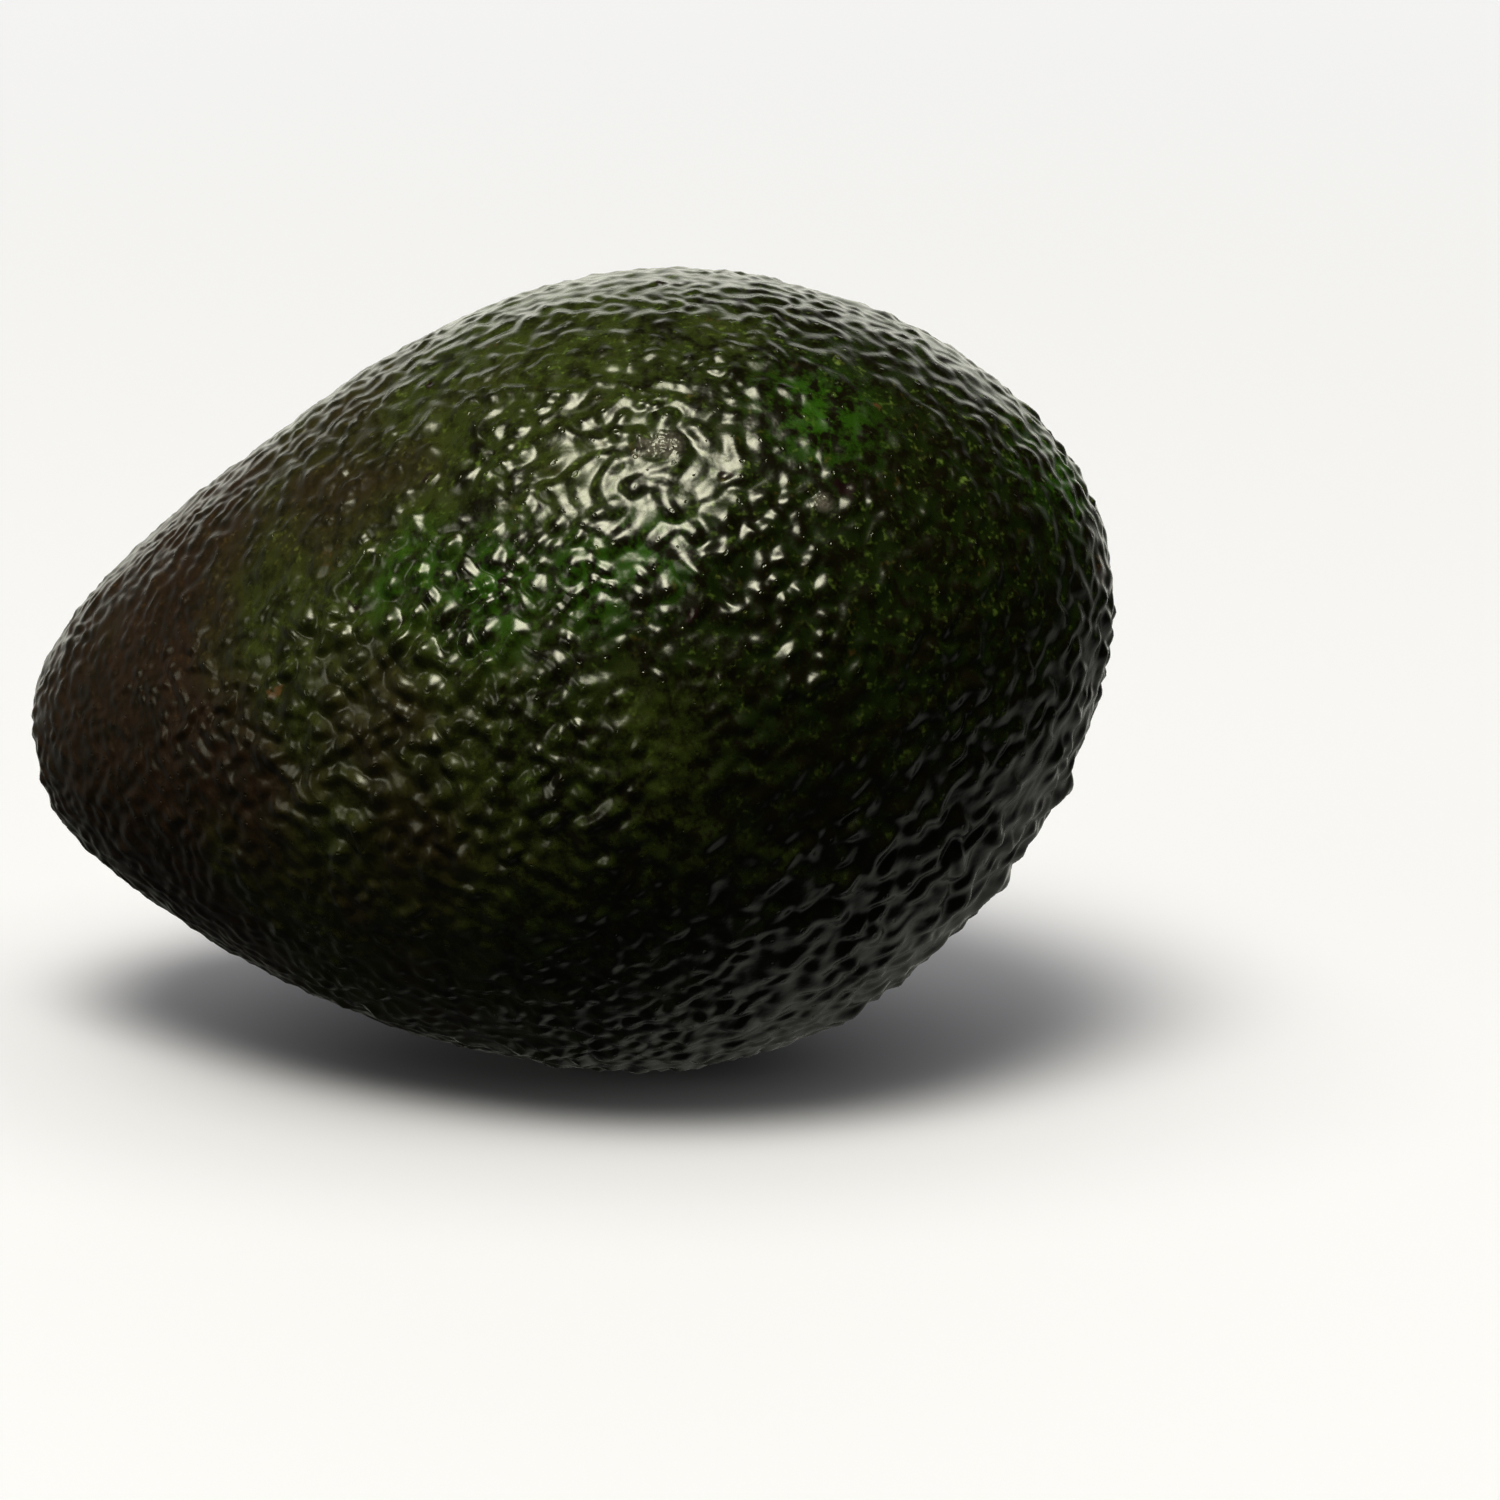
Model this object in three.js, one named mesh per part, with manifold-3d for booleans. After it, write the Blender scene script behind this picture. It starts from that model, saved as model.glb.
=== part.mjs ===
// A whole ripe Hass-type avocado lying on its side, with the woody stem button in the dimple at its narrow end.
// Millimetres, +Z up. +X runs towards the fat blossom end and -X towards the stem.
// The fruit rests on z = 0 on a small flat spot, with the origin under the middle of its bounding box.
import * as THREE from "three";
import { mergeVertices } from "three/addons/utils/BufferGeometryUtils.js";
import Module from "manifold-3d";

// Driving dimensions of the fruit, along and across its own long axis.
const LENGTH = 103; // between the poles of the smooth form, before the dimple is pressed in
const WIDTH = 71.3; // nominal diameter that the girth formula scales
const TAPER = 0.246; // how much fatter the blossom end is than the stem end
const END_DRAW = -0.212; // draws both ends in, so that the flanks run straighter
const NECK = -0.124; // fills out the stem end's shoulder and rounds the blossom end
const BELLY = -2.85; // how far the middle of the axis bows down between the poles
const BELLY_SKEW = 0.3; // shifts that bow towards the stem end
const LOBE = 0.006; // share of the radius by which three faint lobes stand out
const LOBE_TURN = THREE.MathUtils.degToRad(34);

// The fruit lies with its narrow end down, as its weight leaves it.
const REST_TILT = THREE.MathUtils.degToRad(13.2);
const FLAT_DEPTH = 0.5; // how much of the skin's curve the resting spot flattens

// The dimple at the stem end: a flat seat, with the skin rising round it to a rounded shoulder.
const SEAT_RADIUS = 3.1;
const SEAT_DEPTH = 3.6; // below the pole of the smooth form
const DIMPLE_RADIUS = 6.8;

// The stem button, a woody stub of the fruit stalk.
const BUTTON_RADIUS = 2.6;
const BUTTON_FOOT_RADIUS = 2.2;
const BUTTON_HEIGHT = 1.4;
const BUTTON_EDGE = 0.4; // radius of its rounded rim
const BUTTON_GAP = 0.3; // clearance between the button and its seat

// Broad swells and hollows of the skin. Each has its middle at a share of the length from the stem pole,
// turned up from the +Y side, with its rise and its reach in millimetres.
const SWELLS = [
  { name: "upper stem shoulder", along: 0.12, turn: 75, rise: 0.45, reach: 11 },
  { name: "hollow above the neck", along: 0.28, turn: 75, rise: -0.4, reach: 13 },
  { name: "back of the fruit", along: 0.63, turn: 75, rise: 0.35, reach: 14 },
  { name: "hollow behind the blossom end", along: 0.78, turn: 75, rise: -0.45, reach: 14 },
  { name: "upper blossom shoulder", along: 0.91, turn: 75, rise: 0.4, reach: 13 },
  { name: "lower stem shoulder", along: 0.1, turn: 255, rise: -0.35, reach: 12 },
  { name: "underside of the neck", along: 0.24, turn: 255, rise: 0.25, reach: 14 },
  { name: "cheek on the -Y side", along: 0.55, turn: 190, rise: 0.4, reach: 18 },
  { name: "hollow on the +Y side", along: 0.45, turn: 10, rise: -0.5, reach: 17 },
];

// Rings round the axis, closer together towards the dimple, and segments round each ring.
const RINGS = 50;
const SEGMENTS = 64;
const RING_CROWDING = 1.25;
const BUTTON_SEGMENTS = 40;

const GROUND_BOX = 200; // side of the block that cuts the flat spot

const skinMaterial = new THREE.MeshStandardMaterial({ color: 0x232a14, roughness: 0.38, metalness: 0 });
const buttonMaterial = new THREE.MeshStandardMaterial({ color: 0x5a4326, roughness: 0.85, metalness: 0 });

const wasm = await Module();
wasm.setup();

// Height of every swell and hollow together at a point of the smooth form.
function swellAt(point) {
  let height = 0;
  for (const swell of SWELLS) {
    const middle = smoothPoint(Math.acos(2 * swell.along - 1), THREE.MathUtils.degToRad(swell.turn));
    const share = point.distanceTo(middle) / swell.reach;
    height += swell.rise * Math.exp(-share * share);
  }
  return height;
}

// Radius of the smooth form round its axis, where cosine is 1 at the blossom pole and -1 at the stem pole.
function girth(cosine) {
  const shape = 1 + TAPER * cosine + END_DRAW * cosine ** 2 + NECK * cosine ** 3;
  return (WIDTH / 2) * Math.sqrt(Math.max(0, 1 - cosine * cosine)) * shape;
}

// A point of the smooth form, at an angle from the blossom pole and a turn round the axis.
function smoothPoint(polar, turn) {
  const cosine = Math.cos(polar);
  const across = 1 - cosine * cosine;
  const radius = girth(cosine) * (1 + LOBE * across * Math.cos(3 * turn + LOBE_TURN));
  const bow = BELLY * across + BELLY_SKEW * cosine * across;
  return new THREE.Vector3(
    (LENGTH / 2) * cosine,
    radius * Math.cos(turn),
    radius * Math.sin(turn) + bow,
  );
}

// The skin's point: the smooth form with its swells, and with the dimple pressed into the stem pole.
function skinPoint(polar, turn) {
  const point = smoothPoint(polar, turn);
  const fromAxis = girth(Math.cos(polar));
  if (point.x < 0 && fromAxis < DIMPLE_RADIUS) {
    const seatX = -LENGTH / 2 + SEAT_DEPTH;
    const outside = THREE.MathUtils.smoothstep(fromAxis, SEAT_RADIUS, DIMPLE_RADIUS);
    point.x = THREE.MathUtils.lerp(seatX, point.x, outside);
    return point;
  }
  const middle = new THREE.Vector3(point.x * 0.5, 0, 0);
  const outwards = point.clone().sub(middle).normalize();
  return point.addScaledVector(outwards, swellAt(point));
}

// A closed skin of rings between two poles, with its faces pointing out.
function skinGeometry() {
  const positions = [];
  const indices = [];
  positions.push(...skinPoint(0, 0).toArray());
  for (let ring = 1; ring < RINGS; ring++) {
    const polar = Math.PI * (1 - (1 - ring / RINGS) ** RING_CROWDING);
    for (let segment = 0; segment < SEGMENTS; segment++) {
      positions.push(...skinPoint(polar, (2 * Math.PI * segment) / SEGMENTS).toArray());
    }
  }
  positions.push(...skinPoint(Math.PI, 0).toArray());
  const stemPole = positions.length / 3 - 1;
  const at = (ring, segment) => 1 + (ring - 1) * SEGMENTS + (segment % SEGMENTS);
  for (let segment = 0; segment < SEGMENTS; segment++) {
    indices.push(0, at(1, segment), at(1, segment + 1));
    for (let ring = 1; ring < RINGS - 1; ring++) {
      const [a, b] = [at(ring, segment), at(ring, segment + 1)];
      const [c, d] = [at(ring + 1, segment), at(ring + 1, segment + 1)];
      indices.push(a, c, d, a, d, b);
    }
    indices.push(stemPole, at(RINGS - 1, segment + 1), at(RINGS - 1, segment));
  }
  const geometry = new THREE.BufferGeometry();
  geometry.setAttribute("position", new THREE.Float32BufferAttribute(positions, 3));
  geometry.setIndex(indices);
  return geometry;
}

function solidOf(geometry) {
  const bare = geometry.clone();
  bare.deleteAttribute("normal");
  bare.deleteAttribute("uv");
  const merged = mergeVertices(bare, 1e-4);
  return new wasm.Manifold(
    new wasm.Mesh({
      numProp: 3,
      vertProperties: merged.attributes.position.array,
      triVerts: new Uint32Array(merged.index.array),
    }),
  );
}

function geometryOf(solid) {
  const mesh = solid.getMesh();
  const geometry = new THREE.BufferGeometry();
  geometry.setAttribute("position", new THREE.BufferAttribute(mesh.vertProperties, 3));
  geometry.setIndex(new THREE.BufferAttribute(mesh.triVerts, 1));
  geometry.computeVertexNormals();
  return geometry;
}

// The matrix that lays the fruit on the ground plane, sunk by the flat spot's depth and centred on the origin.
function restingMatrix(geometry) {
  const lay = new THREE.Matrix4().makeRotationY(-REST_TILT);
  const box = new THREE.Box3().setFromBufferAttribute(geometry.clone().applyMatrix4(lay).attributes.position);
  const middle = box.getCenter(new THREE.Vector3());
  const shift = new THREE.Matrix4().makeTranslation(-middle.x, -middle.y, -box.min.z - FLAT_DEPTH);
  return shift.multiply(lay);
}

// The fruit: skin and flesh as one solid, with the resting spot cut flat at z = 0.
function fruitMesh(geometry, resting) {
  const ground = new THREE.BoxGeometry(GROUND_BOX, GROUND_BOX, GROUND_BOX).translate(0, 0, -GROUND_BOX / 2);
  const cut = solidOf(geometry.clone().applyMatrix4(resting)).subtract(solidOf(ground));
  const mesh = new THREE.Mesh(geometryOf(cut), skinMaterial);
  mesh.name = "fruit";
  return mesh;
}

// The stem button, turned round the fruit's axis, with a narrower foot and a slightly hollow top.
function buttonMesh() {
  const profile = new THREE.Path();
  profile.moveTo(0, 0);
  profile.lineTo(BUTTON_FOOT_RADIUS, 0);
  profile.lineTo(BUTTON_RADIUS, BUTTON_HEIGHT * 0.45);
  profile.lineTo(BUTTON_RADIUS, BUTTON_HEIGHT - BUTTON_EDGE);
  profile.absarc(BUTTON_RADIUS - BUTTON_EDGE, BUTTON_HEIGHT - BUTTON_EDGE, BUTTON_EDGE, 0, Math.PI / 2, false);
  profile.lineTo(0, BUTTON_HEIGHT - BUTTON_EDGE * 0.5);
  const geometry = new THREE.LatheGeometry(profile.getPoints(6), BUTTON_SEGMENTS);
  const mesh = new THREE.Mesh(geometry, buttonMaterial);
  mesh.name = "stem_button";
  // The lathe turns round +Y, and the button stands along the fruit's -X.
  mesh.rotation.z = Math.PI / 2;
  mesh.position.x = -LENGTH / 2 + SEAT_DEPTH - BUTTON_GAP;
  return mesh;
}

const skin = skinGeometry();
const resting = restingMatrix(skin);

const stemEnd = new THREE.Group();
stemEnd.applyMatrix4(resting);
stemEnd.add(buttonMesh());

const avocado = new THREE.Group();
avocado.name = "avocado";
avocado.add(fruitMesh(skin, resting), stemEnd);

export default avocado;
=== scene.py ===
"""A whole ripe Hass-type avocado lying on a pale studio floor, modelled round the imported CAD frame.

The fruit's skin is one closed mesh wrapped on the CAD solid, with thousands of pebbles strewn over it.
The mesh is raised at each pebble, and the material works out the same pebbles again at every point of the
surface, so that their gloss is as smooth as if the mesh were much finer.
Lengths are in metres, unless MM or a comment says millimetres.
A name that ends in RAMP holds a row of numbers for Nodes.ramp: two values, and the results at them if those
aren't 0 and 1.
"""
import math

import bmesh
import bpy
import numpy as np
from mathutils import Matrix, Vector, noise
from mathutils.bvhtree import BVHTree
from mathutils.kdtree import KDTree


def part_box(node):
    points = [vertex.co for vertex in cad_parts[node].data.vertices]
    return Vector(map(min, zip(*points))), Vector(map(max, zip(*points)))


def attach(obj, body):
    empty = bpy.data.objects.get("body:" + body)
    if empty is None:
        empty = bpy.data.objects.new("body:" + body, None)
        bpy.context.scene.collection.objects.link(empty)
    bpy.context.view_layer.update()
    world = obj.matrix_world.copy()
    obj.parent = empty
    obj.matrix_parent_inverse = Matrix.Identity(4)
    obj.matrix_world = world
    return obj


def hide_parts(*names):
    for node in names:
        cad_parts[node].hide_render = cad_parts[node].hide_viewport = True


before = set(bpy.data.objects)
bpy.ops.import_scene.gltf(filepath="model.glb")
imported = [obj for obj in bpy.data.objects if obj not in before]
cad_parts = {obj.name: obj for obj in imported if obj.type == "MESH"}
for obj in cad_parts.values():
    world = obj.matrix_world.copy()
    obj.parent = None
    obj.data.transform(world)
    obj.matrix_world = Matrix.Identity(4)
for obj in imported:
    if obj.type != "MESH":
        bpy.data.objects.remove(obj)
bpy.context.view_layer.update()

MM = 0.001

# ---------------------------------------------------------------- the fruit's own measures, from the frame

SEAT_GAP = 0.3 * MM  # between the CAD's stem button and the floor of the dimple
SAME_POINT = 0.001 * MM  # vertices of a mesh that are this close are one
FACE_TURN = math.radians(40)  # two triangles are joined in a quad if their faces turn less than this
CORNER_TURN = math.radians(60)  # and the quad's corners are this close to square
SMOOTHING_LEVELS = 2


def node_points(name):
    """The vertices of a CAD node as rows of x, y, z."""
    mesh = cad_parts[name].data
    points = np.empty(len(mesh.vertices) * 3)
    mesh.vertices.foreach_get("co", points)
    return points.reshape(-1, 3)


def disc_axis(points):
    """The middle of a flat round piece, and the direction that it is thinnest in."""
    middle = (points.min(0) + points.max(0)) / 2
    return Vector(middle), Vector(np.linalg.svd(points - points.mean(0), full_matrices=False)[2][2])


FRUIT_LOW, FRUIT_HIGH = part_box("fruit")
FRUIT_MIDDLE = (FRUIT_LOW + FRUIT_HIGH) / 2
STEM_MIDDLE, STEM_AXIS = disc_axis(node_points("stem_button"))
if STEM_AXIS.x > 0:
    STEM_AXIS = -STEM_AXIS  # away from the fruit
FRUIT_AXIS = -STEM_AXIS  # from the stem towards the blossom end
STEM_THICKNESS = np.ptp(node_points("stem_button") @ np.array(STEM_AXIS))
FRUIT_LENGTH = np.ptp(node_points("fruit") @ np.array(FRUIT_AXIS))
SEAT = STEM_MIDDLE + FRUIT_AXIS * (STEM_THICKNESS / 2 + SEAT_GAP)  # the middle of the dimple's floor
FRUIT_HEART = SEAT + FRUIT_AXIS * FRUIT_LENGTH / 2


def smooth_solid_tree(node):
    """A tree for ray casts onto a smoothed copy of a CAD node."""
    shape = bmesh.new()
    shape.from_mesh(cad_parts[node].data)
    bmesh.ops.remove_doubles(shape, verts=shape.verts, dist=SAME_POINT)
    turns = {"angle_face_threshold": FACE_TURN, "angle_shape_threshold": CORNER_TURN}
    bmesh.ops.join_triangles(shape, faces=shape.faces, **turns)
    mesh = bpy.data.meshes.new("smoothing")
    shape.to_mesh(mesh)
    shape.free()
    smooth = bpy.data.objects.new("smoothing", mesh)
    bpy.context.scene.collection.objects.link(smooth)
    rounding = smooth.modifiers.new("rounding", "SUBSURF")
    rounding.levels = SMOOTHING_LEVELS
    tree = BVHTree.FromObject(smooth, bpy.context.evaluated_depsgraph_get())
    bpy.data.objects.remove(smooth)
    bpy.data.meshes.remove(mesh)
    return tree


FRUIT_SURFACE = smooth_solid_tree("fruit")


def skin_place(latitude, turn):
    """A place on the smooth skin in millimetres, seen from the fruit's heart at two angles in degrees.

    The latitude is 90 at the blossom end. The turn is 0 towards -Y and 90 upwards.
    """
    latitude, turn = math.radians(latitude), math.radians(turn)
    upward = FRUIT_AXIS.cross(Vector((0, 1, 0)))
    sideways = Vector((0, -1, 0)) * math.cos(turn) + upward * math.sin(turn)
    outward = FRUIT_AXIS * math.sin(latitude) + sideways * math.cos(latitude)
    return FRUIT_SURFACE.ray_cast(FRUIT_HEART, outward)[0] / MM


# ---------------------------------------------------------------- the camera, at the photograph's angle

PHOTO_SIDE = 1500  # pixels
PIXELS_PER_MM = 10.9
MIDDLE_PIXEL = (567, 661)  # where the middle of the fruit's box is in the photograph
VIEW_AZIMUTH = math.radians(10)
VIEW_ELEVATION = math.radians(15)
CAMERA_DISTANCE = 0.8
CAMERA_CLIP = (0.05, 50)
SENSOR_WIDTH_MM = 36


def make_camera():
    sin_a, cos_a = math.sin(VIEW_AZIMUTH), math.cos(VIEW_AZIMUTH)
    sin_e, cos_e = math.sin(VIEW_ELEVATION), math.cos(VIEW_ELEVATION)
    right = Vector((cos_a, sin_a, 0))
    up = Vector((-sin_a * sin_e, cos_a * sin_e, cos_e))
    back = Vector((sin_a * cos_e, -cos_a * cos_e, sin_e))
    across_mm = (PHOTO_SIDE / 2 - MIDDLE_PIXEL[0]) / PIXELS_PER_MM
    down_mm = (PHOTO_SIDE / 2 - MIDDLE_PIXEL[1]) / PIXELS_PER_MM
    target = FRUIT_MIDDLE + (right * across_mm - up * down_mm) * MM
    data = bpy.data.cameras.new("camera")
    data.sensor_width = SENSOR_WIDTH_MM
    data.lens = SENSOR_WIDTH_MM * PIXELS_PER_MM * (CAMERA_DISTANCE / MM) / PHOTO_SIDE
    data.clip_start, data.clip_end = CAMERA_CLIP
    camera = bpy.data.objects.new("camera", data)
    camera.location = target + back * CAMERA_DISTANCE
    camera.rotation_euler = back.to_track_quat("Z", "Y").to_euler()
    bpy.context.scene.collection.objects.link(camera)
    bpy.context.scene.camera = camera


make_camera()

# ---------------------------------------------------------------- node trees


class Nodes:
    """Short calls that add nodes to a tree. A material's tree and a geometry tree take the same ones."""

    def __init__(self, tree):
        self.tree = tree

    def add(self, kind, inputs=(), **settings):
        node = self.tree.nodes.new(kind)
        for name, value in settings.items():
            setattr(node, name, value)
        for socket, value in dict(inputs).items():
            self.put(node.inputs[socket], value)
        return node

    def put(self, socket, value):
        if isinstance(value, bpy.types.NodeSocket):
            self.tree.links.new(value, socket)
        elif value is not None:
            socket.default_value = value

    def attribute(self, name, output="Fac"):
        return self.add("ShaderNodeAttribute", attribute_name=name).outputs[output]

    def math(self, operation, a, b=None, c=None, clamp=False):
        node = self.add("ShaderNodeMath", operation=operation, use_clamp=clamp)
        for socket, value in zip(node.inputs, (a, b, c)):
            self.put(socket, value)
        return node.outputs[0]

    def vector(self, operation, a, b=None, scale=None):
        node = self.add("ShaderNodeVectorMath", operation=operation)
        for socket, value in zip(node.inputs, (a, b, None, scale)):
            self.put(socket, value)
        return node.outputs[1 if operation in ("DOT_PRODUCT", "LENGTH", "DISTANCE") else 0]

    def parts(self, vector):
        """The outputs X, Y and Z."""
        return self.add("ShaderNodeSeparateXYZ", {0: vector}).outputs

    def ramp(self, value, low, high, to_low=0.0, to_high=1.0):
        """value, eased from to_low at low to to_high at high, and held beyond them."""
        inputs = {"Value": value, "From Min": low, "From Max": high, "To Min": to_low, "To Max": to_high}
        return self.add("ShaderNodeMapRange", inputs, interpolation_type="SMOOTHSTEP").outputs["Result"]

    def noise(self, place, size, detail, roughness=0.5):
        """Noise from 0 to 1, with features of about that size, in the unit of place."""
        inputs = {"Vector": place, "Scale": 1 / size, "Detail": detail, "Roughness": roughness}
        return self.add("ShaderNodeTexNoise", inputs, noise_dimensions="3D").outputs["Fac"]

    def mix(self, share, a, b):
        """Colour a turned into colour b by share."""
        node = self.add("ShaderNodeMix", data_type="RGBA", clamp_factor=True)
        colours = [socket for socket in node.inputs if socket.type == "RGBA"]
        self.put(node.inputs[0], share)
        self.put(colours[0], a)
        self.put(colours[1], b)
        return [socket for socket in node.outputs if socket.type == "RGBA"][0]


# ---------------------------------------------------------------- the skin's relief

# Lengths in millimetres.
SWELL_RISE = 0.5  # broad unevenness of the whole skin
SWELL_SIZE = 14
PEBBLE_SPACING_STEM = 1.3  # least distance between two pebbles' middles
PEBBLE_SPACING = 1.75
PEBBLE_SPACING_CHEEK = 2.7  # low on the blossom end
PEBBLES_LEFT_OUT = 0.05  # share of them
PEBBLE_NEIGHBOURS = 4
PEBBLE_REACH = 0.84  # a pebble's radius, as a share of the distance to its neighbours
PEBBLE_REACH_CHANCE = (0.8, 1.2)  # the least and most that chance makes of it
PEBBLE_RISE = 0.21  # a pebble's height, as a share of its radius, where the skin is firm
PEBBLE_RISE_CHANCE = (0.6, 1.4)
PEBBLE_SLOTS = 5  # how many pebbles may reach one face of the mesh
PEBBLE_SEED = 41
PORE_DEPTH = 0.05  # of the tiny pore on top of some pebbles
RIDGE_RISE = 0.19  # winding ridges between the round pebbles
RIDGE_RISE_BOLD = 0.45 * RIDGE_RISE  # where the pebbles are bold
RIDGE_SIZE = 1.3
GRAIN_RISE = 0.03
GRAIN_SIZE = 0.7
PIT_DEPTH = 0.12
SCUFF_RISE = 0.3  # crumpling of the scuffed skin
WRINKLES = 13  # round the dimple
WRINKLE_RISE = 0.16
WRINKLE_BEND_SIZE = 4
WRINKLE_BEND = 9  # how far a bend shifts them, where a whole wrinkle is 2 pi
# Two waves that sway the skin's places, so that the pebbles' outlines are uneven: their turn and reach.
SWAYS = (((1.1, -0.6, 0.8), 0.32), ((-0.9, 1.7, 1.3), 0.16))
FAR_AWAY = (0, 0, -1000)
# Parts of the skin whose pebbles stand out more or less than elsewhere: latitude, turn, reach and how much.
FIRMER_PARTS = (
    (-20, 8, 22, 0.7),
    (56, 56, 24, -0.45),
    (2, 98, 34, -0.35),
    (28, 42, 13, -0.1),
)
FIRMER_CORE = 0.25  # share of a part's reach within which it counts in full
FIRMER_CHEEK = 0.5  # how much more they stand out low on the blossom end
FIRMER_DIMPLE = -0.75  # share by which they stand out more in the dimple, and so less
# Patches of skin where the pebbles are closer or wider, or bolder or fainter: the patches' size, and the
# least and the most that they multiply by.
SPACING_PATCHES = (9, 0.85, 1.1)
FIRM_PATCHES = (11, 0.7, 1.2)
PATCH_RAMP = (0.35, 0.65)  # of their noise

# Distances from the fruit's axis. In a pair, the dimple's trait is full within the first and gone at the
# second.
DIMPLE_REACH = 8.5
DIMPLE_SMOOTH = (4.5, DIMPLE_REACH)
DIMPLE_WRINKLED = (5.5, DIMPLE_REACH)
WRINKLE_START_RAMP = (2.8, 4.5)

# Ramps of a place along the fruit, from 0 at the stem's seat to 1 at the blossom end.
SPACING_RAMP = (0.02, 0.42, PEBBLE_SPACING_STEM, PEBBLE_SPACING)
FIRM_RAMP = (0.02, 0.5, 0.7, 1.0)
STEM_END_RAMP = (0.15, 0.3, 1.0, 0.0)
CHEEK_RAMP = (0.55, 0.95)
# Ramps of the height above the floor, and of how firm the skin is.
CHEEK_HEIGHT_RAMP = (15, 48, 1.0, 0.0)
RIDGE_RISE_RAMP = (0.9, 1.6, RIDGE_RISE, RIDGE_RISE_BOLD)


def along_fruit(n, place):
    """0 at the stem's seat and 1 at the blossom end, for a place in millimetres."""
    from_seat = n.vector("SUBTRACT", place, tuple(SEAT / MM))
    return n.math("DIVIDE", n.vector("DOT_PRODUCT", from_seat, tuple(FRUIT_AXIS)), FRUIT_LENGTH / MM)


def round_stem(n, place):
    """The distance from the fruit's axis in millimetres, and the angle round it."""
    from_seat = n.vector("SUBTRACT", place, tuple(SEAT / MM))
    sideways = Vector((0, 1, 0))
    a = n.vector("DOT_PRODUCT", from_seat, tuple(sideways))
    b = n.vector("DOT_PRODUCT", from_seat, tuple(FRUIT_AXIS.cross(sideways)))
    distance = n.math("SQRT", n.math("ADD", n.math("MULTIPLY", a, a), n.math("MULTIPLY", b, b)))
    return distance, n.math("ARCTAN2", a, b)


def in_dimple(n, place, inner, outer):
    """1 nearer the axis than inner, eased to 0 at outer, at the stem end only."""
    distance, _ = round_stem(n, place)
    near_stem = n.ramp(along_fruit(n, place), *STEM_END_RAMP)
    return n.math("MULTIPLY", n.ramp(distance, inner, outer, 1.0, 0.0), near_stem)


def on_cheek(n, place):
    """1 low on the blossom end, where the pebbles are coarsest, eased to 0 round it."""
    low = n.ramp(n.parts(place)["Z"], *CHEEK_HEIGHT_RAMP)
    return n.math("MULTIPLY", low, n.ramp(along_fruit(n, place), *CHEEK_RAMP))


def patches(n, place, size, least, most):
    """Soft random patches of about that size, from least to most."""
    return n.ramp(n.noise(place, size, 1), *PATCH_RAMP, least, most)


def pebble_spacing(n, place):
    spacing = n.ramp(along_fruit(n, place), *SPACING_RAMP)
    more = n.math("MULTIPLY", on_cheek(n, place), PEBBLE_SPACING_CHEEK - PEBBLE_SPACING)
    return n.math("MULTIPLY", n.math("ADD", spacing, more), patches(n, place, *SPACING_PATCHES))


def firmness(n, place):
    """How much the skin's pebbles and ridges stand out, about 1 over most of the fruit."""
    share = n.ramp(along_fruit(n, place), *FIRM_RAMP)
    for latitude, turn, reach, more in FIRMER_PARTS:
        distance = n.vector("DISTANCE", place, skin_place(latitude, turn))
        near = n.ramp(distance, FIRMER_CORE * reach, reach, 1.0, 0.0)
        share = n.math("MULTIPLY_ADD", near, more, share)
    share = n.math("MULTIPLY_ADD", on_cheek(n, place), FIRMER_CHEEK, share)
    smooth = n.math("MULTIPLY_ADD", in_dimple(n, place, *DIMPLE_SMOOTH), FIRMER_DIMPLE, 1.0)
    return n.math("MULTIPLY", n.math("MULTIPLY", share, patches(n, place, *FIRM_PATCHES)), smooth)


def swayed_place(n, place):
    for turn, reach in SWAYS:
        wave = n.vector("SINE", n.vector("CROSS_PRODUCT", place, turn))
        place = n.vector("ADD", place, n.vector("SCALE", wave, scale=reach))
    return place


def broad_relief(n, place):
    """Height in millimetres of the swells of the whole skin and of the wrinkles round the dimple."""
    swell = n.math("SUBTRACT", n.noise(place, SWELL_SIZE, 2), 0.5)
    distance, angle = round_stem(n, place)
    bend = n.math("MULTIPLY", n.noise(place, WRINKLE_BEND_SIZE, 1), WRINKLE_BEND)
    wrinkle = n.math("SINE", n.math("MULTIPLY_ADD", angle, WRINKLES, bend))
    band = n.math("MULTIPLY", n.ramp(distance, *WRINKLE_START_RAMP), in_dimple(n, place, *DIMPLE_WRINKLED))
    height = n.math("MULTIPLY", n.math("MULTIPLY", wrinkle, band), WRINKLE_RISE)
    return n.math("MULTIPLY_ADD", swell, SWELL_RISE, height)


def ridge_rise(n, firm):
    """The winding ridges' height in millimetres, less where the skin is soft or the pebbles are bold."""
    return n.math("MULTIPLY", n.math("MINIMUM", firm, 1.0), n.ramp(firm, *RIDGE_RISE_RAMP))


def ridges(n, swayed):
    """Height of the winding ridges, from 0 to 1."""
    return n.noise(swayed, RIDGE_SIZE, 0)


def pebbles(n, swayed):
    """Height in millimetres of the pebbles here, and how near the top of one it is, 0 to 1.

    Each face of the mesh holds the middles, radii and heights of the pebbles that reach it.
    """
    height, top = 0.0, 0.0
    for slot in range(PEBBLE_SLOTS):
        middle = n.attribute(f"pebble_{slot}", "Vector")
        size = n.parts(n.attribute(f"size_{slot}", "Vector"))
        share = n.math("DIVIDE", n.vector("DISTANCE", swayed, middle), size["X"])
        inside = n.math("SUBTRACT", 1.0, n.math("MULTIPLY", share, share), clamp=True)
        dome = n.math("MULTIPLY", n.math("MULTIPLY", inside, inside), inside)
        height = n.math("MULTIPLY_ADD", dome, size["Y"], height)
        top = n.math("MAXIMUM", dome, top)
    return height, top


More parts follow.
